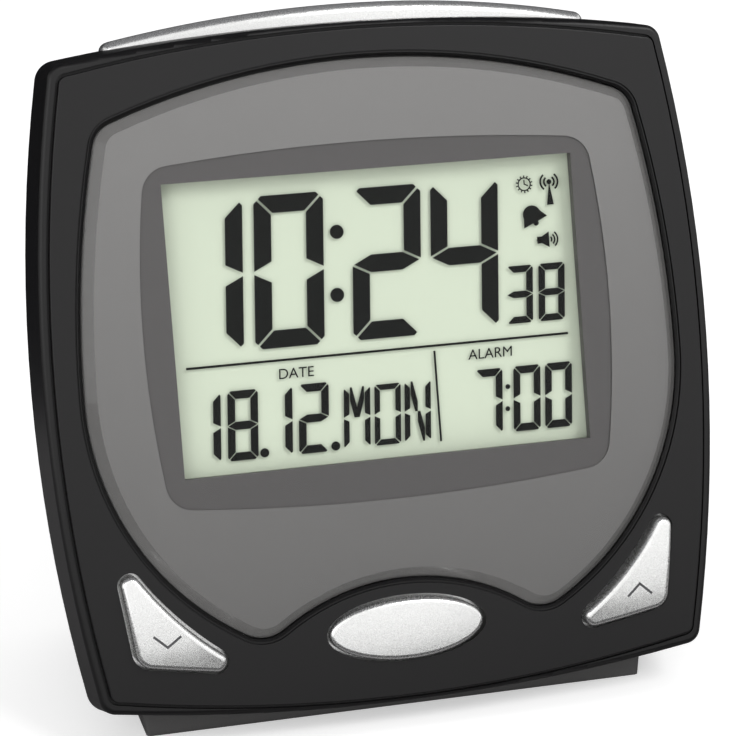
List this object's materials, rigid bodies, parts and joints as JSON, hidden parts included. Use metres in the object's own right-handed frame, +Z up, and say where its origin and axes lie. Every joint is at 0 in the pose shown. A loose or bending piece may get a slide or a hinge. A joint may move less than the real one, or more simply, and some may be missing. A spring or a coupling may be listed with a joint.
{
  "type": "talking table alarm clock",
  "caption": "Small talking table clock: cushion-shaped leaning face, bevelled lens over a digit display, silver keys and a press-to-talk bar on top, loudspeaker and battery door behind.",
  "frame": {"origin": "centre of the foot's underside, where the clock stands on the table", "axes": "+Z up from the table, -Y the way the leaning face looks, +X to the right of someone facing the clock"},
  "size_m": [0.0992, 0.0503, 0.0996],
  "materials": {
    "charcoal_frame": "satin charcoal",
    "charcoal_housing": "fine matt texture",
    "charcoal_foot": "satin charcoal",
    "charcoal_door": "fine matt texture",
    "clear_lens": "clear moulded acrylic",
    "grey_panel": "printed grey film",
    "dark_holder": "matt dark grey",
    "display_glass": "pale green display glass",
    "reflector_sheet": "pearly sheet",
    "light_guide": "milky diffuser",
    "lamp_body": "moulded lamp",
    "contact_rubber": "striped rubber",
    "board_green": "green coated laminate",
    "chip_black": "black resin",
    "tinned_metal": "tinned can",
    "switch_black": "black moulding",
    "switch_metal": "tinned can",
    "plunger_white": "white moulding",
    "silver_key": "silver paint on plastic",
    "silver_bar": "silver paint on plastic",
    "rear_key": "grey moulding",
    "screw_steel": "zinc-coated steel",
    "basket_steel": "pressed steel",
    "magnet_dark": "sintered magnet",
    "cone_paper": "treated paper",
    "ring_plastic": "black moulding",
    "cell_wrap": "plain wrap",
    "contact_metal": "nickel-plated spring sheet",
    "ferrite_dark": "sintered rod",
    "coil_copper": "enamelled copper winding"
  },
  "bodies": {
    "case": {"front_frame": "charcoal_frame", "rear_housing": "charcoal_housing", "base_foot": "charcoal_foot", "display_lens": "clear_lens", "face_panel": "grey_panel", "lcd_holder": "dark_holder", "lcd_front_glass": "display_glass", "lcd_rear_glass": "display_glass", "lcd_reflector": "reflector_sheet", "light_guide": "light_guide", "backlight_leds": "lamp_body", "zebra_strips": "contact_rubber", "main_board": "board_green", "control_board": "board_green", "chip_blobs": "chip_black", "quartz_crystal": "tinned_metal", "front_switch_cans": "switch_black", "talk_switch_cans": "switch_black", "control_switch_cans": "switch_black", "slide_switch_can": "switch_metal", "foot_screws": "screw_steel", "case_screws": "screw_steel", "board_screws": "screw_steel", "speaker_screws": "screw_steel", "control_screws": "screw_steel", "speaker_basket": "basket_steel", "speaker_magnet": "magnet_dark", "speaker_ring": "ring_plastic", "battery_cells": "cell_wrap", "battery_bridge": "contact_metal", "battery_terminals": "contact_metal", "ferrite_rod": "ferrite_dark", "antenna_coil": "coil_copper"},
    "down_key": {"down_key": "silver_key", "down_plunger": "plunger_white"},
    "alarm_set_key": {"alarm_set_key": "silver_key", "alarm_set_plunger": "plunger_white"},
    "up_key": {"up_key": "silver_key", "up_plunger": "plunger_white"},
    "talk_bar": {"talk_bar": "silver_bar", "talk_plungers": "plunger_white"},
    "time_key": {"time_key": "rear_key", "time_plunger": "plunger_white"},
    "signal_key": {"signal_key": "rear_key", "signal_plunger": "plunger_white"},
    "alarm_slider": {"alarm_slider": "rear_key"},
    "battery_door": {"battery_door": "charcoal_door"},
    "speaker_cone": {"speaker_cone": "cone_paper"}
  },
  "joints": [
    {"name": "down_key_press", "type": "slide", "parent": "case", "child": "down_key", "axis": [0, 0.9659, -0.2588], "range_m": [0, 0.0008], "stiffness_N_per_m": 1500},
    {"name": "alarm_set_key_press", "type": "slide", "parent": "case", "child": "alarm_set_key", "axis": [0, 0.9659, -0.2588], "range_m": [0, 0.0008], "stiffness_N_per_m": 1500},
    {"name": "up_key_press", "type": "slide", "parent": "case", "child": "up_key", "axis": [0, 0.9659, -0.2588], "range_m": [0, 0.0008], "stiffness_N_per_m": 1500},
    {"name": "talk_bar_press", "type": "slide", "parent": "case", "child": "talk_bar", "axis": [0, -0.2588, -0.9659], "range_m": [0, 0.0012], "stiffness_N_per_m": 2000},
    {"name": "time_key_press", "type": "slide", "parent": "case", "child": "time_key", "axis": [0, -1, 0], "range_m": [0, 0.0008], "stiffness_N_per_m": 1500},
    {"name": "signal_key_press", "type": "slide", "parent": "case", "child": "signal_key", "axis": [0, -1, 0], "range_m": [0, 0.0008], "stiffness_N_per_m": 1500},
    {"name": "alarm_slider_travel", "type": "slide", "parent": "case", "child": "alarm_slider", "axis": [-1, 0, 0], "range_m": [0, 0.004]},
    {"name": "battery_door_lift", "type": "slide", "parent": "case", "child": "battery_door", "axis": [0, 1, 0], "range_m": [0, 0.025]},
    {"name": "speaker_cone_stroke", "type": "slide", "parent": "case", "child": "speaker_cone", "axis": [0, 1, 0], "range_m": [-0.0003, 0.0003], "stiffness_N_per_m": 1200}
  ]
}
